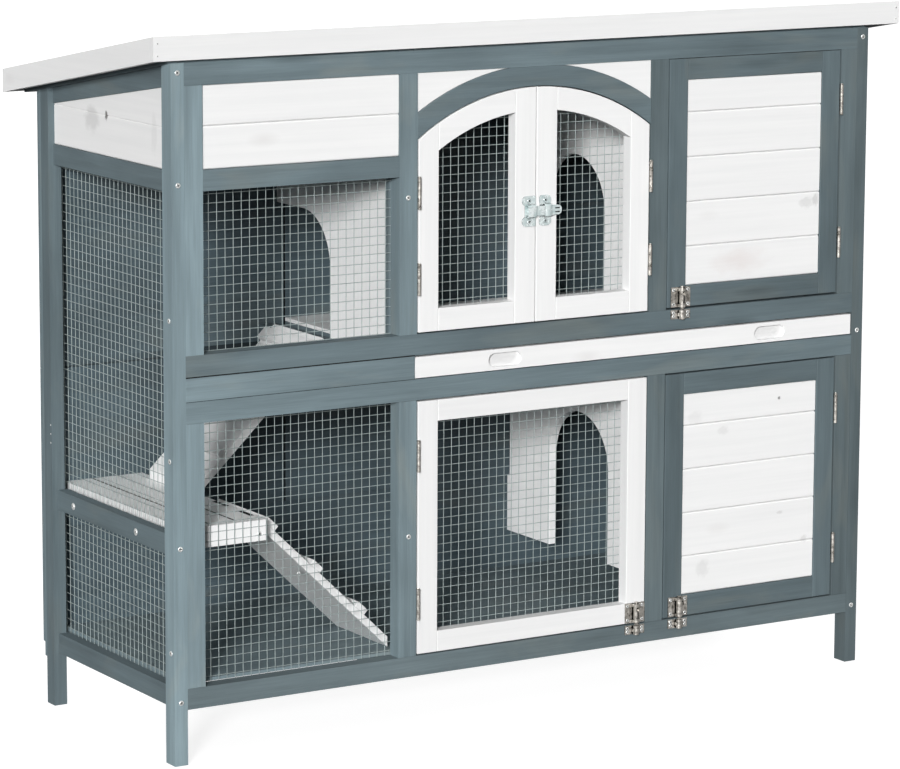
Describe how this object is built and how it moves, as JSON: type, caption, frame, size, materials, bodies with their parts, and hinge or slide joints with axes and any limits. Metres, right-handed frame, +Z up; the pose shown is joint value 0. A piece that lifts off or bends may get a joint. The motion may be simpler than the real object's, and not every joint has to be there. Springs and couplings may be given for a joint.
{
  "type": "rabbit hutch",
  "caption": "Two-storey timber rabbit hutch with arched mesh doors, boarded doors, a pull-out tray, ramps, a rest platform and a sloping roof.",
  "frame": {"origin": "on the ground, in the middle of the whole hutch's outline, roof and latches included", "axes": "+X to the right seen from the front, +Y to the back, +Z up"},
  "size_m": [1.25, 0.4844, 1.0074],
  "materials": {
    "stained_wood": "blue-grey wood stain, matt, with the grain showing",
    "painted_wood": "white paint over softwood, satin",
    "floor_board": "blue-grey stained board, matt",
    "zinc": "bright zinc plating",
    "mesh_wire": "galvanised, satin",
    "roofing_felt": "mineral roofing felt, rough",
    "fasteners": "zinc-plated screw and nail heads"
  },
  "bodies": {
    "hutch": {"corner_posts": "stained_wood", "upper_front_frame": "stained_wood", "lower_front_frame": "stained_wood", "filler_board": "stained_wood", "upper_front_boards": "painted_wood", "arch_header": "stained_wood", "left_side_frame": "stained_wood", "left_side_boards": "painted_wood", "left_side_mesh": "mesh_wire", "left_front_mesh": "mesh_wire", "right_side_frame": "stained_wood", "right_side_boards": "stained_wood", "back_frame": "stained_wood", "back_panels": "stained_wood", "roof_frame": "stained_wood", "roof_deck": "stained_wood", "roof_felt": "roofing_felt", "roof_fascias": "painted_wood", "frame_fasteners": "fasteners", "floor_bearers": "stained_wood", "bottom_floor": "floor_board", "tray_bearers": "stained_wood", "partition_battens": "stained_wood", "left_partition": "painted_wood", "upper_right_partition": "painted_wood", "lower_right_partition": "painted_wood", "platform": "painted_wood", "lower_ramp": "painted_wood", "upper_ramp": "painted_wood", "ramp_cleats": "painted_wood", "hinge_frame_leaves": "zinc", "hinge_pins": "zinc", "rail_keepers": "zinc"},
    "left_arch_door": {"left_arch_door_frame": "painted_wood", "left_arch_door_mesh": "mesh_wire", "left_arch_door_hinge_leaves": "zinc", "left_arch_door_keeper": "zinc"},
    "right_arch_door": {"right_arch_door_frame": "painted_wood", "right_arch_door_mesh": "mesh_wire", "right_arch_door_hinge_leaves": "zinc", "right_arch_door_latch": "zinc"},
    "mesh_door": {"mesh_door_frame": "painted_wood", "mesh_door_mesh": "mesh_wire", "mesh_door_hinge_leaves": "zinc", "mesh_door_latch": "zinc"},
    "upper_solid_door": {"upper_solid_door_frame": "stained_wood", "upper_solid_door_boards": "painted_wood", "upper_solid_door_hinge_leaves": "zinc", "upper_solid_door_latch": "zinc"},
    "lower_solid_door": {"lower_solid_door_frame": "stained_wood", "lower_solid_door_boards": "painted_wood", "lower_solid_door_hinge_leaves": "zinc", "lower_solid_door_latch": "zinc"},
    "tray": {"tray_front": "painted_wood", "tray_panel": "painted_wood", "tray_frame": "stained_wood"},
    "right_arch_door_bolt": {"right_arch_door_bolt": "zinc"},
    "mesh_door_bolt": {"mesh_door_bolt": "zinc"},
    "upper_solid_door_bolt": {"upper_solid_door_bolt": "zinc"},
    "lower_solid_door_bolt": {"lower_solid_door_bolt": "zinc"}
  },
  "joints": [
    {"name": "left_arch_door_swing", "type": "hinge", "parent": "hutch", "child": "left_arch_door", "pos_m": [-0.21015, -0.22945, 0.74], "axis": [0, 0, -1], "range_deg": [0, 150]},
    {"name": "right_arch_door_swing", "type": "hinge", "parent": "hutch", "child": "right_arch_door", "pos_m": [0.18075, -0.22945, 0.74], "axis": [0, 0, 1], "range_deg": [0, 150]},
    {"name": "mesh_door_swing", "type": "hinge", "parent": "hutch", "child": "mesh_door", "pos_m": [-0.21015, -0.22945, 0.29], "axis": [0, 0, -1], "range_deg": [0, 150]},
    {"name": "upper_solid_door_swing", "type": "hinge", "parent": "hutch", "child": "upper_solid_door", "pos_m": [0.52225, -0.22945, 0.756], "axis": [0, 0, 1], "range_deg": [0, 150]},
    {"name": "lower_solid_door_swing", "type": "hinge", "parent": "hutch", "child": "lower_solid_door", "pos_m": [0.52225, -0.22945, 0.292], "axis": [0, 0, 1], "range_deg": [0, 150]},
    {"name": "tray_pull", "type": "slide", "parent": "hutch", "child": "tray", "axis": [0, -1, 0], "range_m": [0, 0.33]},
    {"name": "middle_bolt_slide", "type": "slide", "parent": "right_arch_door", "child": "right_arch_door_bolt", "axis": [-1, 0, 0], "range_m": [0, 0.012]},
    {"name": "mesh_door_bolt_slide", "type": "slide", "parent": "mesh_door", "child": "mesh_door_bolt", "axis": [0, 0, -1], "range_m": [0, 0.012]},
    {"name": "upper_solid_door_bolt_slide", "type": "slide", "parent": "upper_solid_door", "child": "upper_solid_door_bolt", "axis": [0, 0, -1], "range_m": [0, 0.012]},
    {"name": "lower_solid_door_bolt_slide", "type": "slide", "parent": "lower_solid_door", "child": "lower_solid_door_bolt", "axis": [0, 0, -1], "range_m": [0, 0.012]}
  ]
}
